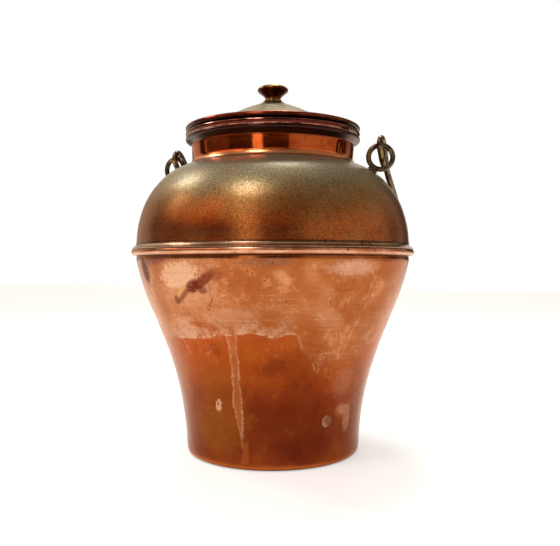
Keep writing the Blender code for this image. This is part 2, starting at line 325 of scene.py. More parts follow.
def make_lug(side, material):
    """A forged eye bolt: a ring of wire grown into a collared shank that is peened inside the shoulder."""
    lug, there = LUGS[side], lug_frame(side)
    eye = there @ Vector((0.0, 0.0, EYE_STANDOFF))
    spin = Matrix.Rotation(math.radians(lug["twist"]), 3, "Z")
    path = []
    for i in range(EYE_POINTS):
        angle = 2 * math.pi * i / EYE_POINTS
        path.append(eye + spin @ Vector((EYE_RADIUS * math.cos(angle), 0.0, EYE_RADIUS * math.sin(angle))))

    def radius_at(i, angle):
        spot = path[i] * 160 + Vector((math.cos(angle), math.sin(angle), 0.0)) * 0.5
        return EYE_WIRE * (1 + 0.045 * noise.noise(spot))

    ring = finished(f"eye_bolt_{side}", tube(path, radius_at, 20, closed=True))
    bolt = turn("shank", refined(BOLT, False, 0.0006), 40)
    bolt.data.transform(there)
    work = bmesh.new()
    work.from_mesh(ring.data)
    work.from_mesh(bolt.data)
    work.to_mesh(ring.data)
    work.free()
    bpy.data.objects.remove(bolt)
    place(remeshed(ring, LUG_VOXEL, 6), "pot", "aged_brass", material, f"lug_{side}")


def bail_points():
    """The bail's centre line in its own plane, from tip to tip."""
    def half(side):
        loop = list(LOOP_TIP)
        for angle in range(270, 89, -30):
            a = math.radians(angle)
            loop.append((LOOP_RADIUS * math.cos(a), LOOP_RADIUS * math.sin(a) - LOOP_HANG))
        loop += LOOP_BACK
        points = [Vector((side * BAIL_HALF_SPAN, s, n)) for s, n in loop]
        return points + [Vector((side * across, s, 0.0)) for across, s in BAIL_OUTLINE]

    return half(1) + [Vector((0.0, BAIL_REACH, 0.0))] + half(-1)[::-1]


def hook_point(side):
    """Where the swing axis crosses an eye's wire."""
    eye = lug_frame(side) @ Vector((0.0, 0.0, EYE_STANDOFF))
    x = BAIL_SHIFT + (BAIL_HALF_SPAN if side == "right" else -BAIL_HALF_SPAN)
    reach = (x - eye.x) / math.cos(math.radians(LUGS[side]["twist"]))
    return Vector((x, 0.0, eye.z + math.sqrt(EYE_RADIUS**2 - reach**2)))


def make_bail(material):
    """The bail: one hand-drawn rod, thicker at its grip, with a hooked loop at each end."""
    points = bail_points()
    ends = [points[0] * 2 - points[1], *points, points[-1] * 2 - points[-2]]
    path = []
    for a, b, c, d in zip(ends, ends[1:], ends[2:], ends[3:]):
        pieces = max(2, round((c - b).length / BAIL_STEP))
        path += [curve_point(a, b, c, d, k / pieces) for k in range(pieces)]
    path.append(points[-1])
    left, right = hook_point("left"), hook_point("right")
    axis = (right - left).normalized()
    there = (
        Matrix.Translation((left + right) / 2)
        @ Matrix.Rotation(-math.asin(axis.z), 4, "Y")
        @ Matrix.Rotation(-math.radians(BAIL_DROP), 4, "X")
    )
    last = len(path) - 1

    def radius_at(i, angle):
        point = path[i]
        grip = min(1.0, max(0.0, (GRIP_HALF - abs(point.x)) / FADE))
        end = min(1.0, max(0.0, (LOOP_END - point.y) / FADE))
        radius = BAIL_ROD + (BAIL_GRIP - BAIL_ROD) * grip + (LOOP_ROD - BAIL_ROD) * end
        from_tip = min(i, last - i) * BAIL_STEP
        if from_tip < radius:
            radius *= 0.6 + 0.4 * math.sqrt(max(0.0, 1 - (1 - from_tip / radius) ** 2))
        spot = point * 90 + Vector((math.cos(angle), math.sin(angle), 0.0)) * 0.6
        return radius * (0.985 + 0.03 * noise.noise(spot))

    bent = [there @ Vector((p.x - BAIL_SKEW * max(0.0, p.y), p.y, p.z)) for p in path]
    place(finished("bail_rod", tube(bent, radius_at)), "bail", "aged_brass", material, "bail")


def make_crumbs(material):
    """Small lumps of old dirt and solder left in the crease above the belt."""
    section, _ = cad_section("shoulder_shell")
    reach = max(r for r, z in section if abs(z - CRUMB_SEAT) < CRUMB_BAND)
    pick = random.Random(7)
    work = bmesh.new()
    for i in range(CRUMBS):
        angle = math.radians(pick.uniform(55.5, 65.5) if i < GROUPED else pick.uniform(-20.0, 70.0))
        size = pick.uniform(0.0005, 0.0010) * (1.25 if i < LARGE else 0.8)
        in_crease = Matrix.Translation((0.0, -reach, pick.uniform(*CREASE)))
        spot = Matrix.Rotation(angle, 4, "Z") @ in_crease
        made = bmesh.ops.create_icosphere(work, subdivisions=3, radius=size)
        for v in made["verts"]:
            v.co *= 1.0 + 0.45 * noise.noise(v.co / size * 0.9 + Vector((i * 3.1, 0.0, 0.0)))
            v.co.x *= 1.7
            v.co.z *= 0.7
            v.co = spot @ v.co
    place(finished("crumbs", work), "pot", "shoulder_copper", material)


# ---------------------------------------------------------------- node trees
def rgb(red, green, blue):
    """A linear colour from display values of 0 to 255."""
    def linear(c):
        c /= 255
        return c / 12.92 if c <= 0.04045 else ((c + 0.055) / 1.055) ** 2.4

    return (linear(red), linear(green), linear(blue), 1.0)


class Value:
    """A socket that can be used in sums and shaped by smooth steps."""

    def __init__(self, tree, socket):
        self.tree, self.socket = tree, socket

    def __add__(self, other):
        return self.tree.math("ADD", self, other)

    def __sub__(self, other):
        return self.tree.math("SUBTRACT", self, other)

    def __rsub__(self, other):
        return self.tree.math("SUBTRACT", other, self)

    def __mul__(self, other):
        return self.tree.math("MULTIPLY", self, other)

    def __truediv__(self, other):
        return self.tree.math("DIVIDE", self, other)

    __radd__, __rmul__ = __add__, __mul__

    def abs(self):
        return self.tree.math("ABSOLUTE", self)

    def most(self, other):
        return self.tree.math("MAXIMUM", self, other)

    def rise(self, low, high):
        """0 at low, 1 at high, smooth between."""
        node = self.tree.node(
            "MapRange", {"Value": self, "From Min": low, "From Max": high}, interpolation_type="SMOOTHSTEP"
        )
        return Value(self.tree, node.outputs[0])

    def near(self, centre, half, soft):
        """1 within half of centre, 0 beyond half + soft."""
        return (self - centre).abs().rise(half + soft, half)


class Tree:
    """Short calls that build a node tree."""

    def __init__(self, tree):
        self.tree = tree

    def node(self, kind, inputs=None, **settings):
        node = self.tree.nodes.new("ShaderNode" + kind)
        for key, value in settings.items():
            setattr(node, key, value)
        for key, value in (inputs or {}).items():
            self.put(node.inputs[key], value)
        return node

    def put(self, socket, value):
        if isinstance(value, Value):
            self.tree.links.new(value.socket, socket)
        else:
            socket.default_value = value

    def math(self, operation, *values):
        return Value(self, self.node("Math", dict(enumerate(values)), operation=operation).outputs[0])

    def vector(self, x, y, z):
        return Value(self, self.node("CombineXYZ", {0: x, 1: y, 2: z}).outputs[0])

    def split(self, vector):
        return [Value(self, s) for s in self.node("SeparateXYZ", {0: vector}).outputs]

    def curve(self, value, points):
        """A smooth curve through the points, {value: result}."""
        low, high = min(points), max(points)
        least, most = min(points.values()), max(points.values())
        node = self.node("FloatCurve", {"Value": (value - low) / (high - low)})
        line = node.mapping.curves[0].points
        places = [((k - low) / (high - low), (points[k] - least) / (most - least)) for k in sorted(points)]
        while len(line) < len(places):
            line.new(0.5, 0.5)
        for point, there in zip(line, places):
            point.location = there
        node.mapping.update()
        return Value(self, node.outputs[0]) * (most - least) + least

    def mix(self, a, b, factor):
        """Colour a turned towards colour b by factor."""
        node = self.node("Mix", data_type="RGBA", blend_type="MIX")
        for index, value in ((0, factor), (6, a), (7, b)):
            self.put(node.inputs[index], value)
        return Value(self, node.outputs[2])

    def add_light(self, light, colour, amount):
        """The light with that amount of a display colour added to it."""
        node = self.node("VectorMath", {0: rgb(*colour)[:3], "Scale": amount}, operation="SCALE")
        total = self.node("VectorMath", {0: light, 1: Value(self, node.outputs[0])}, operation="ADD")
        return Value(self, total.outputs[0])

    def ramp(self, value, stops):
        """A colour that changes with value through the stops, {value: display colour}."""
        low, high = min(stops), max(stops)
        node = self.node("ValToRGB", {0: (value - low) / (high - low)})
        node.color_ramp.interpolation = "B_SPLINE" if len(stops) > 3 else "LINEAR"
        elements = node.color_ramp.elements
        while len(elements) < len(stops):
            elements.new(0.5)
        for element, key in zip(elements, sorted(stops)):
            element.position = (key - low) / (high - low)
        for element, key in zip(elements, sorted(stops)):
            element.color = rgb(*stops[key])
        return Value(self, node.outputs[0])


BODY_RADIUS = 112.0  # of the lower body where its scratches are, in millimetres


class Metal(Tree):
    """A metal's material, with the object's own coordinates in millimetres and degrees."""

    def __init__(self, name):
        self.material = bpy.data.materials.new(name)
        self.material.use_nodes = True
        super().__init__(self.material.node_tree)
        self.shader = self.tree.nodes["Principled BSDF"]
        self.colour = None
        where = Value(self, self.node("TexCoord").outputs["Object"])
        self.x, self.y, self.z = (c * MM for c in self.split(where))
        self.angle = self.math("ARCTAN2", self.x, self.y * -1) * math.degrees(1)
        self.radius = self.math("SQRT", self.x * self.x + self.y * self.y)
        normal = self.split(Value(self, self.node("NewGeometry").outputs["True Normal"]))
        outward = (normal[0] * self.x + normal[1] * self.y) / self.radius.most(1.0)
        self.inside = outward.rise(-0.25, -0.6)
        # noises that break up the marks' edges and their insides
        self.ragged = self.noise(3.2, 5.0, 0.65, seed=17.0)
        self.patchy = self.noise(1.6, 3.0, 0.7, seed=18.0).rise(0.30, 0.56) * 0.45 + 0.55

    def noise(self, size, detail=3.0, rough=0.55, stretch=(1, 1, 1), seed=0.0, warp=0.0):
        """A noise from about 0 to 1 whose features are size millimetres across, longer by stretch."""
        x, y, z = (c / (size * s) + seed for c, s in zip((self.x, self.y, self.z), stretch))
        node = self.node("TexNoise", {
            "Vector": self.vector(x, y, z), "Scale": 1.0, "Detail": detail, "Roughness": rough,
            "Distortion": warp,
        })
        return Value(self, node.outputs["Fac"])

    def specks(self, spacing, size, share, seed=0.0):
        """Spots about size millimetres across, in the given share of cells that far apart."""
        x, y, z = (c / spacing + seed for c in (self.x, self.y, self.z))
        node = self.node("TexVoronoi", {"Vector": self.vector(x, y, z), "Scale": 1.0})
        distance, colour = Value(self, node.outputs["Distance"]), Value(self, node.outputs["Color"])
        chance, vary, _ = self.split(colour)
        edge = (vary * 0.6 + 0.4) * (size / spacing / 2)
        return (edge - distance).rise(0.0, 0.35 * size / spacing) * chance.rise(share + 0.01, share)

    def mark(self, angle, height, width, tall, lean=0.0, ragged=0.5, soft=0.3):
        """A ragged spot at an angle and height, width by tall in millimetres, leaning by degrees."""
        u = (self.angle - angle) * math.radians(1) * self.radius
        v = self.z - height
        a = math.radians(lean)
        along = (u * math.cos(a) + v * math.sin(a)) / (width / 2)
        up = (v * math.cos(a) - u * math.sin(a)) / (tall / 2)
        reach = self.math("SQRT", along * along + up * up) + (self.ragged - 0.5) * (2 * ragged)
        return reach.rise(1.0 + soft, 1.0 - soft) * self.patchy

    def line(self, start, end, width, soft=0.5):
        """A thin straight scratch between two (angle, height) places, width millimetres across."""
        k = math.radians(1) * BODY_RADIUS
        u, v = (end[0] - start[0]) * k, end[1] - start[1]
        length = math.hypot(u, v)
        x, y = (self.angle - start[0]) * k, self.z - start[1]
        along = (x * u + y * v) / length
        off = (y * u - x * v) / length + (self.ragged - 0.5) * 1.2
        return off.near(0.0, width / 2, soft) * along.near(length / 2, length / 2 - 2, 3)

    def paint(self, shade, amount):
        """Turn the metal's colour towards a display colour, or towards a ramp's colour, by amount."""
        self.colour = self.mix(self.colour, shade if isinstance(shade, Value) else rgb(*shade), amount)

    def paint_marks(self, marks, ragged, soft):
        for angle, height, wide, tall, lean, shade, strength in marks:
            self.paint(shade, self.mark(angle, height, wide, tall, lean, ragged, soft) * strength)

    def coat(self, weight, roughness):
        """A thin clear layer, as of wax or old lacquer."""
        self.shader.inputs["Coat Weight"].default_value = weight
        self.shader.inputs["Coat Roughness"].default_value = roughness

    def finish(self, roughness, height, metallic=1.0, tint=(1.0, 0.92, 0.84)):
        """The finished material, with its painted colour and its bump height in millimetres."""
        self.put(self.shader.inputs["Base Color"], self.colour)
        self.put(self.shader.inputs["Roughness"], roughness)
        self.put(self.shader.inputs["Metallic"], metallic)
        self.shader.inputs["Specular Tint"].default_value = (*tint, 1.0)
        bump = self.node("Bump", {"Height": height, "Distance": 1 / MM, "Strength": 1.0})
        self.tree.links.new(bump.outputs[0], self.shader.inputs["Normal"])
        return self.material


# ---------------------------------------------------------------- materials
# the old water line's height by angle
STAIN_LINE = {
    -180: 122, -140: 116, -100: 121, -60: 112, -25: 113.5, -17.5: 114.5, -9.5: 115.5, -5: 116.5, 0: 118,
    7: 119.5, 12: 120, 18: 118.5, 22.4: 117, 27.5: 120, 31.4: 119, 34: 108, 38: 102, 46: 97, 54: 96, 64: 100,
    80: 108, 110: 122, 145: 117, 180: 122,
}
# the drip's angle and its half width by height
DRIP_PATH = {12: 2.8, 30: 3.1, 45: 2.2, 62: 1.8, 86: 2.4, 118: 3.0}
DRIP_HALF = {12: 0.6, 26: 0.7, 36: 2.0, 45: 3.0, 54: 3.4, 62: 4.3, 74: 3.2, 86: 3.5, 118: 4.1}
# angle, height and size
PITS = [
    (12.4, 170.9, 1.7), (14.0, 169.0, 1.4), (19.0, 167.0, 1.7), (18.6, 163.4, 1.6), (8.2, 160.6, 1.2),
    (9.4, 138.9, 1.0), (-7.1, 148.5, 1.1), (-17.2, 144.5, 2.0), (-8.5, 167.5, 1.8), (-29.2, 150.0, 1.0),
    (-4.2, 142.4, 1.9), (-2.9, 147.4, 1.4), (-23.7, 116.8, 1.5), (26.5, 146.4, 1.9), (35.7, 118.1, 1.0),
    (21.3, 177.5, 1.3), (69.2, 165.5, 1.6), (-3.6, 153.0, 1.0), (-5.0, 139.5, 1.6), (2.5, 133.0, 1.2),
    (44.0, 172.0, 1.1), (-40.0, 96.0, 1.3),
]
# angle, height, width, tall, lean, display colour and strength
WORN_PLACES = [
    (-20, 124, 24, 16, 0, (196, 142, 110), 0.75), (53, 173.5, 46, 12, 2, (200, 148, 118), 0.8),
    (25, 166, 15, 8, -32, (210, 152, 106), 0.6), (71, 180.6, 34, 4.5, 0, (112, 40, 20), 0.7),
    (19, 178, 40, 7, 0, (112, 72, 56), 0.6), (40, 158, 34, 11, -35, (182, 116, 74), 0.5),
    (22, 142, 30, 22, 0, (160, 92, 50), 0.6), (44, 134, 40, 16, -30, (190, 132, 94), 0.55),
    (2, 134, 46, 14, 4, (192, 136, 98), 0.6), (58, 112, 34, 40, 0, (170, 104, 62), 0.5),
    (-8, 66, 44, 50, 0, (140, 76, 26), 0.5), (-15, 34, 54, 44, 0, (146, 84, 28), 0.45),
    (38, 92, 50, 34, 0, (122, 50, 18), 0.5), (70, 96, 26, 62, 0, (140, 80, 48), 0.4),
    (34, 150, 26, 50, -10, (172, 100, 56), 0.4), (-36, 88, 16, 60, 4, (150, 82, 46), 0.6),
    (24, 48, 60, 26, 0, (96, 34, 15), 0.35), (40, 20, 50, 24, 0, (90, 30, 15), 0.55),
    (120, 150, 60, 30, 5, (192, 136, 98), 0.6), (-120, 158, 70, 26, -5, (190, 134, 96), 0.6),
    (165, 60, 60, 50, 0, (104, 38, 17), 0.5), (-95, 44, 50, 34, 0, (100, 38, 17), 0.5),
]
# a dark red diagonal streak on the lower body; its first, pale yellow mark is a painted highlight
DIAGONAL_STREAK = [
    (-17.0, 153.2, 15, 4.6, 36, (206, 156, 88), 0.55), (-4.2, 165.2, 26, 8.0, 33, (128, 58, 34), 0.75),
    (-16.2, 150.6, 23, 4.4, 38, (112, 56, 28), 0.85), (-20.6, 146.8, 7.5, 6.5, 60, (104, 48, 20), 0.8),
    (-10.4, 158.4, 15, 9.8, 26, (88, 18, 14), 0.95), (-5.6, 162.4, 24, 7.6, 31, (106, 34, 20), 0.75),
    (-6.2, 155.2, 9, 5.6, 0, (100, 36, 22), 0.75), (0.4, 167.0, 12, 8.0, 20, (136, 66, 42), 0.6),
]
# start and end, each an angle and a height, and width
LONG_SCRATCHES = [
    ((27.3, 162.3), (36.1, 142.1), 0.9), ((36.1, 142.1), (43.5, 131.0), 0.6), ((40, 96), (44, 84), 0.7),
    ((56, 126), (54, 96), 4.0), ((61, 132), (57, 104), 3.0), ((-26, 116), (-23, 98), 1.4),
    ((96, 150), (104, 128), 0.8), ((-88, 96), (-80, 118), 0.9), ((-150, 160), (-143, 140), 0.8),
]
# on the shoulder: angle, height, width, tall and strength; the first three, at the front, are painted dark
# reflections, the others red clouds
RED_CLOUDS_AND_REFLECTIONS = [
    (-1, 206, 24, 15, 0.30), (22, 206, 26, 22, 0.40), (-40, 203, 16, 14, 0.35), (118, 208, 60, 24, 0.6),
    (-128, 206, 50, 22, 0.6), (176, 210, 40, 26, 0.6),
]


def paint_grounds(m):
    """The lacquered copper below the water line, the worn copper above it, and the blotches in both."""
    # below the water line the copper is darker low on the body, partly its own tone and partly painted shade
    below = m.ramp(m.z + (m.mid - 0.5) * 26 + (m.slow - 0.5) * 20, {
        0: (136, 62, 26), 8: (128, 54, 22), 22: (108, 43, 19), 48: (112, 44, 18), 66: (124, 50, 20),
        84: (146, 64, 22), 104: (160, 72, 24), 124: (164, 78, 32),
    })
    above = m.ramp(m.mid * 0.6 + m.slow * 0.4, {
        0.30: (146, 72, 34), 0.44: (160, 88, 44), 0.56: (168, 97, 52), 0.72: (184, 122, 84),
    })
    faded = (m.over + (m.mid - 0.5) * 16).rise(-22.0, 20.0)
    m.colour = m.mix(below, above, m.over.rise(-1.0, 1.6) * (1.0 - m.vague) + faded * m.vague)
    blotch = m.noise(24, 5.0, 0.68, seed=61.0)
    m.paint((156, 88, 28), blotch.rise(0.51, 0.66) * m.over.rise(2, -8) * (m.z.rise(20, 60) * 0.16 + 0.20))
    m.paint((84, 28, 16), blotch.rise(0.50, 0.32) * m.over.rise(2, -10) * 0.42)
    m.paint((206, 138, 92), blotch.rise(0.52, 0.60) * m.over.rise(-2, 6) * 0.40)
    brown = m.noise(17, 5.0, 0.7, seed=63.0).rise(0.50, 0.38)
    m.paint((158, 84, 34), brown * m.over.rise(0, 4) * 0.45)


def paint_worn_places(m):
    """Broad places, most of them rubbed pale."""
    rubbed = m.mark(-14.0, 160.0, 58, 46, 8, ragged=0.75, soft=0.5) * m.over.rise(0.0, 6.0)
    m.paint((204, 148, 110), rubbed * 0.6)
    bright = m.mark(-17.0, 167.5, 40, 19, 10, ragged=0.9, soft=0.15)
    m.paint((216, 170, 134), bright * 0.75)
    m.paint_marks(WORN_PLACES, 0.8, 0.5)


def paint_scratches(m):
    """Turning scratches, curled polishing marks and a few long scratches; gives the turning scratches."""
    scratches = m.turning.rise(0.56, 0.74) * (
        m.over.rise(-8, 6) * 0.28 + m.over.near(14.0, 13.0, 12.0) * 0.65 + 0.07
    )
    scratches = scratches * (m.fine.rise(0.35, 0.6) * 0.7 + 0.3)
    m.paint((222, 168, 128), scratches * 0.55)
    m.paint((116, 50, 22), m.turning.rise(0.46, 0.32) * (m.over.rise(-8, 6) * 0.20 + 0.10))
    curls = m.noise(15, 3.0, 0.5, seed=51.0, warp=2.2).near(0.5, 0.004, 0.012)
    m.paint((222, 172, 132), curls * m.mid.rise(0.47, 0.62) * m.over.rise(-40, 12) * 0.42)
    for start, end, width in LONG_SCRATCHES:
        m.paint((216, 160, 120), m.line(start, end, width, 0.9) * m.fine.rise(0.40, 0.62) * 0.32)
    return scratches


def paint_water_line(m):
    """The crust along the water line; gives its chalk, which is painted later."""
    front, back = m.angle.near(-1.0, 24.0, 10.0), m.angle.near(130.0, 30.0, 14.0)
    thick = (front.most(back) * 0.55 + 0.45) * (1.0 - m.vague * 0.8)
    chalk = m.over.rise(-1.8, 1.0) * m.over.rise(11.0, 1.5) * (m.fine * 0.6 + m.mid * 0.4).rise(0.38, 0.58)
    chalk = chalk * thick * 0.85
    chalk = chalk.most(m.over.near(0.4, 0.4, 1.3) * m.fine.rise(0.36, 0.56) * thick * 0.9)
    island = m.mark(-9.0, 125.6, 31, 5.4, -8, 0.7, 0.15)
    m.paint((152, 76, 32), island * 0.8)
    crusted = m.over.near(5.0, 5.0, 2.0) * (1.0 - m.vague)
    crusted = crusted.most(m.mark(-3.0, 127.0, 30, 16, -10, 0.8, 0.4)) * m.mid.rise(0.42, 0.56)
    wriggle = m.noise(4.2, 5.0, 0.7, seed=53.0, warp=1.6)
    m.paint((112, 52, 26), wriggle.near(0.455, 0.006, 0.022) * crusted * 0.8)
    brown = m.over.rise(-3.0, 0.0) * m.over.rise(10.0, 3.0) * m.ragged.rise(0.56, 0.66)
    m.paint((116, 58, 30), brown * m.mid.rise(0.45, 0.6) * 0.7)
    return chalk.most(wriggle.near(0.52, 0.010, 0.030) * crusted * 0.65)


def paint_drip(m):
    """The drip from the water line and the tab at its foot; gives the drip's chalky edges."""
    centre, half = m.curve(m.z, DRIP_PATH), m.curve(m.z, DRIP_HALF)
    sway = (m.noise(12, 4.0, 0.65, seed=49.0) - 0.5) * 5
    off = ((m.angle - centre) * math.radians(1) * m.radius + sway).abs() - half + (m.ragged - 0.5) * 2.4
    length = m.z.rise(17, 24) * m.over.rise(3.0, 0.0)
    filled = off.rise(0.8, -1.2) * length * (m.mid.rise(0.35, 0.6) * 0.5 + 0.5)
    m.paint((176, 108, 62), filled * 0.55)
    across = m.angle + (m.ragged - 0.5) * 1.2
    tab = across.rise(7.3, 6.7) * (across - m.z * 0.13).rise(0.6, 1.6) * m.z.rise(27, 23) * m.z.rise(4.5, 7)
    m.paint((158, 82, 36), tab * (m.ragged * 0.5 + 0.25))
    breaks = m.noise(8, 4.0, 0.65, seed=45.0).rise(0.32, 0.56)
    return off.near(-0.4, 0.2, 1.3) * length * (m.fine.rise(0.38, 0.56) * 0.8 + 0.2) * breaks * 0.5


def paint_deposits(m, chalk):
    """The chalk, with a fleck and a pale patch added, and the round deposit; gives both."""
    fleck = m.mark(-10.3, 56.0, 5.5, 11.0, -12, 0.9, 0.2)
    hollow = m.mark(-10.6, 57.0, 2.0, 3.6, -12, 0.6, 0.2)
    patch = m.mark(67.0, 49.0, 20, 10, -12, 0.9, 0.4).most(m.mark(71.0, 41.0, 10, 24, 4, 0.8, 0.4))
    patch = patch.most(m.mark(62.0, 74.0, 22, 26, 0, 1.1, 0.5) * 0.5)
    m.paint((164, 106, 74), patch * 0.55)
    chalk = chalk.most(fleck * (1.0 - hollow)).most(patch * m.ragged.rise(0.4, 0.6) * 0.22)
    m.paint((216, 164, 128), chalk * 0.85)
    deposit = m.mark(54.4, 41.0, 9.6, 10.4, 0, 0.12, 0.1)
    m.paint((138, 98, 60), deposit * (m.fine * 0.7 + 0.1))
    rim = deposit * (1.0 - m.mark(55.3, 42.2, 7.6, 8.2, 0, 0.15, 0.25)) * m.angle.rise(56.3, 53.3)
    m.paint((190, 148, 106), rim * (m.fine * 0.9 + 0.05))
    return chalk, deposit


def paint_dark_reflection_and_shade(m):
    """A dark red reflection painted as a wedge under the belt at the left, and a painted shadow band under
    the belt there; gives both.
    """
    wedge = m.mark(-40.5, 171.5, 15, 22, 16, 0.4, 0.25)
    dark_reflection_and_shade = wedge.most(m.mark(-31.0, 179.5, 46, 7.5, 6, 0.6, 0.5) * 0.55)
    m.paint((88, 8, 3), dark_reflection_and_shade * 0.95)
    return dark_reflection_and_shade


def paint_pits(m):
    """Scattered and single pits and a crack; gives them."""
    pits = m.specks(9.0, 1.3, 0.32, seed=2.0) * (m.over.rise(-4, 6) * 0.8 + 0.2)
    for angle, height, size in PITS:
        pits = pits.most(m.mark(angle, height, size * 0.75, size * 0.7, 0, 1.1, 0.5))
    crack = m.line((-3.2, 160.0), (-2.6, 147.4), 0.5, 0.8)
    crack = crack.most(m.line((-2.6, 148.0), (-5.2, 140.0), 0.5, 0.8))
    pits = pits.most(crack * m.fine.rise(0.40, 0.60) * 0.7)
    m.paint((84, 28, 15), pits * 0.8)
    return pits


def paint_foot(m):
    """The foot's rubbed edge, with a bright line on it and a painted contact shadow under it."""
    foot = (m.z + (m.mid - 0.5) * 6).rise(8.0, 1.5) * (m.slow.rise(0.35, 0.6) * 0.7 + 0.3)
    m.paint((176, 100, 52), foot * m.angle.near(-5.0, 40.0, 50.0) * 0.6)
    m.paint((188, 96, 36), (m.z + (m.ragged - 0.5) * 1.4).near(3.1, 0.7, 1.2) * 0.42)
    # painted shadow: a dark line where the foot meets the floor
    m.paint((34, 17, 11), m.z.rise(2.0, 1.2) * 0.9)


def paint_bead(m):
    """The rubbed belt bead, the dirt in its joints and its nicks; gives the nicks."""
    bead = (m.z + (m.ragged - 0.5) * 0.6).rise(184.2, 185.4)
    m.paint(m.ramp(m.noise(26, 4.0, seed=8.0), {
        0.30: (176, 104, 70), 0.45: (206, 146, 112), 0.6: (222, 168, 136), 0.72: (186, 118, 82),
    }), bead)
    m.paint((96, 80, 62), m.z.near(183.9, 0.5, 0.9) * (0.35 + m.ragged * 0.4))
    joint = (m.z + (m.ragged - 0.5) * 0.9).rise(188.6, 189.5)
    m.paint((104, 36, 24), joint * m.noise(20, 3.0, seed=71.0).rise(0.34, 0.52) * 0.85)
    nicks = m.noise(3.2, 3.0, 0.6, stretch=(2.2, 2.2, 0.4), seed=70.0).rise(0.60, 0.70) * bead
    nicks = nicks.most(m.line((47.6, 186.0), (48.4, 191.0), 0.7))
    m.paint((96, 32, 24), nicks * 0.75)
    return nicks


def lower_copper():
    """Lacquered copper, redder towards the foot and paler above an old water line, with drips and marks."""
    m = Metal("lower_copper")
    m.slow, m.mid = m.noise(62, 3.0, seed=4.0), m.noise(19, 4.0, seed=3.0)
    m.fine = m.noise(5.5, 5.0, 0.6, seed=9.0)
    m.turning = m.noise(9, 5.0, 0.62, stretch=(3.4, 3.4, 0.075), seed=5.0)
    # how far above the water line, and where the line is vague
    m.over = m.z - (m.curve(m.angle, STAIN_LINE) + (m.noise(13, 4.0, 0.6, seed=31.0) - 0.5) * 5)
    m.vague = m.angle.near(57.0, 20.0, 6.0)
    paint_grounds(m)
    paint_worn_places(m)
    scratches = paint_scratches(m)
    chalk = paint_water_line(m)
    chalk = chalk.most(paint_drip(m))
    chalk, deposit = paint_deposits(m, chalk)
    # the diagonal streak, with its painted highlight
    m.paint_marks(DIAGONAL_STREAK, 0.45, 0.34)
    dark_reflection_and_shade = paint_dark_reflection_and_shade(m)
    pits = paint_pits(m)
    paint_foot(m)
    nicks = paint_bead(m)
    m.paint((58, 34, 24), m.inside * 0.85)
    rough = (m.fine * 0.10 + 0.17) + scratches * 0.10 + chalk * 0.28 + pits * 0.2 + m.inside * 0.3
    rough = rough + deposit * 0.15 + dark_reflection_and_shade * 0.35
    bump = m.slow * 0.25 + m.mid * 0.10 + m.fine * 0.012 + m.turning * 0.006 + chalk * 0.05
    bump = bump - pits * 0.16 - nicks * 0.15 + deposit * 0.25
    metallic = 1.0 - chalk * 0.45 - deposit * 0.35 - dark_reflection_and_shade * 0.8
    return m.finish(rough, bump, metallic, tint=(1.0, 0.90, 0.80))


def shoulder_copper():
    """Patinated copper, matt and finely pitted: grey-olive near the neck, warm brown lower down."""
    m = Metal("shoulder_copper")
    slow, mid = m.noise(48, 3.0, seed=12.0), m.noise(15, 4.0, seed=13.0)
    grain, sand = m.noise(0.75, 2.0, 0.6, seed=14.0), m.noise(2.6, 3.0, 0.6, seed=15.0)
    m.colour = m.ramp(m.z + (mid - 0.5) * 12 + (slow - 0.5) * 30, {
        196: (176, 98, 44), 206: (176, 96, 40), 218: (174, 104, 46), 230: (164, 118, 66), 242: (152, 130, 90),
        256: (150, 140, 112), 270: (156, 150, 128),
    })
    rust = (slow * 0.5 + mid * 0.5).rise(0.50, 0.62) * m.z.rise(236, 208)
    m.paint((134, 44, 20), rust * 0.4)
    # dark red clouds, the front ones painted reflections
    for angle, height, wide, tall, strength in RED_CLOUDS_AND_REFLECTIONS:
        m.paint((136, 36, 22), m.mark(angle, height, wide, tall, 0, 0.9, 0.9) * strength)
    gold = m.noise(22, 3.0, seed=16.0).rise(0.52, 0.68)
    m.paint((186, 148, 98), gold * 0.24)
    m.paint((64, 38, 22), grain.rise(0.48, 0.62) * 0.80)
    m.paint((222, 202, 164), grain.rise(0.45, 0.32) * (m.z.rise(222, 252) * 0.35 + 0.15))
    pits = m.specks(3.4, 1.1, 0.45, seed=5.0).most(m.specks(11.0, 2.2, 0.25, seed=7.0))
    m.paint((38, 22, 14), pits * 0.85)
    # the flange's edge, a painted shadow line in the crease above it, and its lip on the belt
    flange = (m.z + (m.ragged - 0.5) * 0.8).rise(195.2, 193.8)
    m.paint(m.ramp(mid, {0.35: (166, 126, 92), 0.65: (206, 168, 134)}), flange * 0.9)
    # a painted shadow: a dark line along the crease
    m.paint((36, 24, 18), m.z.near(194.6, 0.5, 0.9) * (0.5 + m.ragged * 0.5))
    m.paint((52, 26, 18), m.z.near(190.9, 0.35, 0.4) * 0.8)
    m.paint((52, 34, 26), m.inside * 0.85)
    rough = (sand - 0.5) * 0.16 + m.z.rise(204, 244) * 0.07 + 0.29 + grain.rise(0.5, 0.7) * 0.10
    rough = rough + m.inside * 0.25 - flange * 0.06
    bump = slow * 0.25 + sand * 0.02 + grain * 0.022 - pits * 0.12
    m.coat(0.16, 0.24)
    return m.finish(rough, bump, 1.0 - m.z.rise(238, 264) * 0.38)


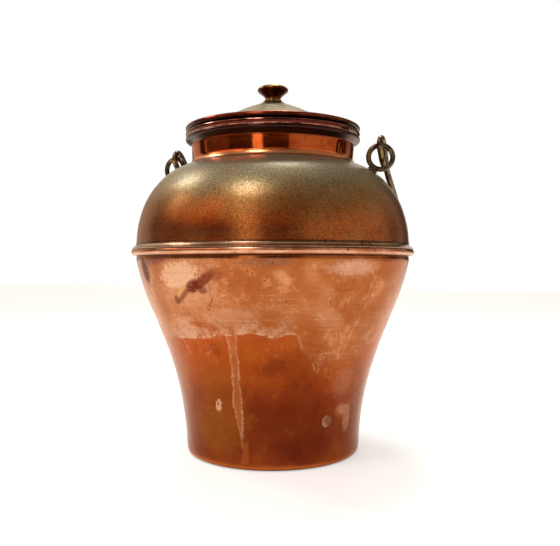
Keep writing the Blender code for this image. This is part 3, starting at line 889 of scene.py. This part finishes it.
def neck_copper():
    """Polished copper, with painted shade under its rim and painted highlights on its roll and foot."""
    m = Metal("neck_copper")
    slow, fine = m.noise(36, 3.0, seed=21.0), m.noise(4, 4.0, 0.6, seed=22.0)
    turning = m.noise(8, 4.0, 0.6, stretch=(5, 5, 0.08), seed=23.0)
    m.colour = m.ramp(slow, {0.32: (176, 76, 26), 0.5: (200, 92, 34), 0.68: (208, 108, 52)})
    m.paint((222, 150, 104), turning.rise(0.55, 0.75) * 0.3)
    blotch = m.noise(13, 4.0, 0.6, seed=25.0, warp=0.8)
    m.paint((150, 56, 20), blotch.rise(0.50, 0.36) * 0.55)
    # painted shade: the band under the rim's flare is painted near-black
    rim_shade = (m.z + (slow - 0.5) * 3 + (m.ragged - 0.5) * 1.6).rise(285.8, 288.8)
    m.paint((20, 9, 8), rim_shade * 0.95)
    roll = (m.z + (m.ragged - 0.5) * 0.5).rise(295.1, 295.9)
    m.paint(m.ramp(fine, {0.3: (62, 18, 13), 0.7: (96, 34, 24)}), roll * 0.95)
    # painted highlights: thin pale lines along the roll's lower and upper edges
    roll_highlights = m.z.near(295.5, 0.2, 0.4).most(m.z.near(299.2, 0.2, 0.5))
    m.paint((226, 150, 114), roll_highlights * m.noise(9, 4.0, 0.6, seed=47.0).rise(0.34, 0.6) * 0.65)
    # a painted highlight: a pale band round the neck's foot, where it is seamed down onto the shoulder
    foot_highlight = (m.z + (m.ragged - 0.5) * 1.2).rise(275.2, 273.0)
    m.paint((232, 164, 112), foot_highlight * 0.6)
    m.paint((60, 22, 14), m.specks(7.0, 1.2, 0.35, seed=24.0) * 0.6)
    m.paint((54, 30, 22), m.inside * 0.85)
    rough = fine * 0.07 + 0.06 + turning.rise(0.55, 0.75) * 0.08 + rim_shade * (1.0 - roll) * 0.22
    m.coat(0.2, 0.08)
    return m.finish(rough + m.inside * 0.3 + foot_highlight * 0.14, slow * 0.12 + fine * 0.006 + turning * 0.003)


def lid_copper():
    """The lid: a dull grey-brown dome inside a polished, reddish rolled edge."""
    m = Metal("lid_copper")
    slow, mid = m.noise(30, 3.0, seed=26.0), m.noise(9, 4.0, 0.6, seed=27.0)
    grain = m.noise(1.0, 2.0, 0.6, seed=28.0)
    turning = m.noise(10, 4.0, 0.6, stretch=(4, 4, 0.12), seed=29.0)
    m.colour = m.ramp(mid * 0.5 + slow * 0.5, {
        0.34: (112, 98, 76), 0.5: (136, 124, 100), 0.66: (156, 146, 122),
    })
    m.paint((70, 44, 30), grain.rise(0.56, 0.70) * 0.45)
    m.paint((54, 30, 20), m.specks(4.0, 1.2, 0.4, seed=30.0) * 0.8)
    edge = (m.radius + (m.ragged - 0.5) * 0.8).rise(76.2, 77.4)
    m.paint(m.ramp(mid, {0.3: (98, 34, 20), 0.5: (128, 54, 32), 0.7: (156, 84, 58)}), edge)
    # painted shade: the underside of the rolled edge is painted near-black
    under = edge * (m.z + (m.ragged - 0.5) * 0.5).rise(303.2, 302.4)
    m.paint((14, 6, 5), under * 0.95)
    m.paint((44, 20, 16), m.radius.near(76.0, 0.6, 0.8) * 0.7)
    m.paint((50, 30, 22), m.inside * 0.5)
    rough = mid * 0.12 + 0.30 - edge * 0.18 + turning.rise(0.5, 0.7) * 0.06
    return m.finish(rough, slow * 0.15 + grain * 0.02 * (1.0 - edge) + turning * 0.004)


def knob_brass():
    """The knob: dark and reddish below, its rim rubbed yellow."""
    m = Metal("knob_brass")
    mid, fine = m.noise(7, 4.0, seed=33.0), m.noise(1.6, 3.0, 0.6, seed=34.0)
    m.colour = m.ramp(mid, {0.3: (56, 16, 12), 0.5: (78, 26, 16), 0.7: (104, 50, 24)})
    rim = (m.z + (mid - 0.5) * 3.4).rise(342.4, 343.8)
    m.paint(m.ramp(mid, {0.3: (96, 66, 28), 0.7: (184, 152, 78)}), rim * 0.85)
    seat = (m.z + (mid - 0.5) * 1.0).rise(334.6, 333.4)
    m.paint((176, 140, 68), seat * 0.7)
    m.paint((40, 20, 10), fine.rise(0.58, 0.72) * 0.5)
    return m.finish(fine * 0.18 + 0.20, mid * 0.08 + fine * 0.012)


def aged_brass():
    """Old brass: olive-brown, rubbed to a dull yellow in random patches."""
    m = Metal("aged_brass")
    mid, fine = m.noise(8, 4.0, 0.6, seed=36.0), m.noise(1.3, 3.0, 0.6, seed=37.0)
    m.colour = m.ramp(mid * 0.7 + fine * 0.3, {
        0.32: (30, 22, 14), 0.45: (58, 43, 26), 0.56: (104, 80, 44), 0.70: (186, 154, 88),
    })
    m.paint((92, 84, 58), m.noise(4, 3.0, seed=38.0).rise(0.55, 0.7) * 0.4)
    m.paint((30, 22, 14), m.specks(2.2, 0.9, 0.4, seed=39.0) * 0.7)
    m.coat(0.6, 0.18)
    return m.finish(fine * 0.22 + 0.20, mid * 0.12 + fine * 0.03)


def iron_wire():
    """Dull iron with a little rust."""
    m = Metal("iron_wire")
    fine = m.noise(1.8, 4.0, 0.65, seed=41.0)
    m.colour = m.ramp(fine, {0.3: (48, 40, 34), 0.5: (74, 66, 60), 0.7: (104, 74, 52)})
    return m.finish(fine * 0.3 + 0.45, fine * 0.05)


# ---------------------------------------------------------------- the pot
LOWER, SHOULDER, NECK, LID = lower_copper(), shoulder_copper(), neck_copper(), lid_copper()
KNOB, BRASS, IRON = knob_brass(), aged_brass(), iron_wire()

turned_piece("lower_body", "lower_shell", "pot", "lower_copper", LOWER, shift=hand_raised)
turned_piece("bottom", "base_disc", "pot", "lower_copper", LOWER)
turned_piece("shoulder", "shoulder_shell", "pot", "shoulder_copper", SHOULDER, shift=hand_raised)
turned_piece("neck", "neck_collar", "pot", "neck_copper", NECK, shift=neck_shape)
turned_piece("lid", "lid_dome", "lid", "lid_copper", LID)
turned_piece("lid_ring", "lid_skirt", "lid", "neck_copper", NECK)
turned_piece("lid_knob", "knob", "lid", "knob_brass", KNOB, 128, step=0.0004)
make_crumbs(SHOULDER)
for side in LUGS:
    make_lug(side, BRASS)
make_bail(BRASS)
for node, material in {
    "belt_wire": IRON, "neck_rim_wire": IRON, "lid_edge_wire": IRON,
    "knob_washer": BRASS, "knob_screw": BRASS, "lug_washer_left": BRASS, "lug_washer_right": BRASS,
}.items():
    NODES[node].data.materials.clear()
    NODES[node].data.materials.append(material)

# ---------------------------------------------------------------- floor, room and camera
VIEW_AZIMUTH = 21.5  # degrees from the pot's front, towards its right eye bolt
CAMERA_DISTANCE, CAMERA_HEIGHT = 0.663, 0.1763
CAMERA_LENS = 44.36
CAMERA_TURN, CAMERA_TILT = -0.01014, 0.0129
LIGHT_DISTANCE, LIGHT_TARGET = 1.5, 0.17
LIGHT_COLOUR = (0.95, 0.98, 1.0)
FLOOR_SIZE, FLOOR_GAP = 4.0, 0.0002


def make_floor():
    """A plain white floor, bright enough to stay white around the pot."""
    work = bmesh.new()
    bmesh.ops.create_grid(work, x_segments=8, y_segments=8, size=FLOOR_SIZE)
    floor = finished("floor", work)
    floor.location.z = -FLOOR_GAP
    material = bpy.data.materials.new("floor")
    material.use_nodes = True
    shader = material.node_tree.nodes["Principled BSDF"]
    shader.inputs["Base Color"].default_value = (0.86, 0.86, 0.86, 1.0)
    shader.inputs["Roughness"].default_value = 0.7
    shader.inputs["Emission Color"].default_value = (1.0, 1.0, 1.0, 1.0)
    shader.inputs["Emission Strength"].default_value = 0.55
    floor.data.materials.append(material)


# soft windows: azimuth from the camera, elevation, half width, half height and softness in degrees, strength
# and colour
ROOM = [
    (-46.0, -11.0, 66.0, 8.0, 5.0, 0.30, (255, 206, 164)),
    (-72.0, 28.0, 26.0, 4.0, 9.0, 0.90, (255, 180, 122)),
    (3.0, 28.0, 10.0, 3.0, 8.0, 0.50, (255, 180, 120)),
    (-20.5, 14.0, 5.5, 15.0, 2.0, 1.6, (255, 240, 215)),
    (-28.0, 40.0, 6.0, 12.0, 6.0, 1.5, (255, 244, 222)),
    (-99.0, 33.0, 4.0, 4.0, 2.5, 4.5, (255, 226, 206)),
    (-56.0, 39.0, 3.0, 3.0, 2.0, 5.0, (255, 170, 110)),
    (65.5, 8.0, 42.5, 18.0, 2.5, 0.50, (255, 236, 214)),
    (80.0, 32.0, 40.0, 12.0, 14.0, 0.22, (255, 226, 196)),
    (-140.0, 10.0, 16.0, 30.0, 5.0, 0.55, (255, 240, 222)),
    (-84.0, 10.0, 20.0, 22.0, 3.0, 0.10, (255, 220, 190)),
    (-106.0, 12.0, 1.0, 26.0, 1.0, 0.50, (255, 236, 220)),
    (130.0, 10.0, 6.0, 30.0, 3.0, 0.30, (255, 236, 220)),
    (178.0, 18.0, 18.0, 16.0, 4.0, 1.2, (255, 248, 238)),
    (-120.0, 62.0, 50.0, 20.0, 22.0, 0.24, (250, 248, 240)),
]


def make_room():
    """What the metal mirrors: a dim room with soft bright windows. The camera itself sees plain white."""
    world = bpy.data.worlds.new("room")
    bpy.context.scene.world = world
    world.use_nodes = True
    t = Tree(world.node_tree)
    x, y, z = t.split(Value(t, t.node("TexCoord").outputs["Generated"]))
    elevation = t.math("ARCSINE", z) * math.degrees(1)
    light = t.ramp(elevation, {
        -10: (90, 72, 62), 8: (64, 50, 44), 16: (60, 46, 40), 34: (96, 84, 74), 60: (150, 142, 128),
        90: (186, 182, 172),
    })
    for azimuth, up, wide, tall, soft, strength, colour in ROOM:
        a = math.radians(VIEW_AZIMUTH + azimuth)
        across = x * math.cos(a) + y * math.sin(a)
        ahead = x * math.sin(a) - y * math.cos(a)
        off = t.math("ARCTAN2", across, ahead) * math.degrees(1)
        window = off.near(0.0, wide, soft) * elevation.near(up, tall, soft) * strength
        light = t.add_light(light, colour, window)
    background = t.tree.nodes["Background"]
    camera_ray = Value(t, t.node("LightPath").outputs["Is Camera Ray"])
    t.put(background.inputs["Color"], t.mix(light, (1.0, 1.0, 1.0, 1.0), camera_ray))


def make_light(name, azimuth, elevation, size, energy):
    """A soft disk light at an azimuth from the camera and an elevation, facing the pot."""
    light = bpy.data.lights.new(name, "AREA")
    light.shape = "DISK"
    light.size, light.energy, light.color = size, energy, LIGHT_COLOUR
    obj = bpy.data.objects.new(name, light)
    bpy.context.scene.collection.objects.link(obj)
    a, e = math.radians(VIEW_AZIMUTH + azimuth), math.radians(elevation)
    back = Vector((math.sin(a) * math.cos(e), -math.cos(a) * math.cos(e), math.sin(e)))
    obj.location = Vector((0.0, 0.0, LIGHT_TARGET)) + back * LIGHT_DISTANCE
    obj.rotation_euler = back.to_track_quat("Z", "Y").to_euler()
    obj.visible_camera = False


def make_camera():
    """The photograph's view, level with the middle of the pot and turned and tilted a little off its axis."""
    camera = bpy.data.objects.new("camera", bpy.data.cameras.new("camera"))
    bpy.context.scene.collection.objects.link(camera)
    camera.data.lens, camera.data.sensor_width = CAMERA_LENS, 36.0
    a = math.radians(VIEW_AZIMUTH)
    camera.location = (CAMERA_DISTANCE * math.sin(a), -CAMERA_DISTANCE * math.cos(a), CAMERA_HEIGHT)
    ahead = Matrix.Rotation(CAMERA_TURN, 3, "Z") @ Vector((-math.sin(a), math.cos(a), 0.0))
    ahead = ahead * math.cos(CAMERA_TILT) - Vector((0.0, 0.0, math.sin(CAMERA_TILT)))
    camera.rotation_mode = "QUATERNION"
    camera.rotation_quaternion = ahead.to_track_quat("-Z", "Y")
    bpy.context.scene.camera = camera


make_floor()
make_room()
make_light("key_light", -31.0, 58.0, 0.36, 4.2)
make_light("side_light", -114.0, 46.0, 0.32, 3.0)
make_light("back_light", 171.0, 69.0, 0.44, 9.0)
make_camera()
bpy.context.scene.view_settings.view_transform = "Standard"
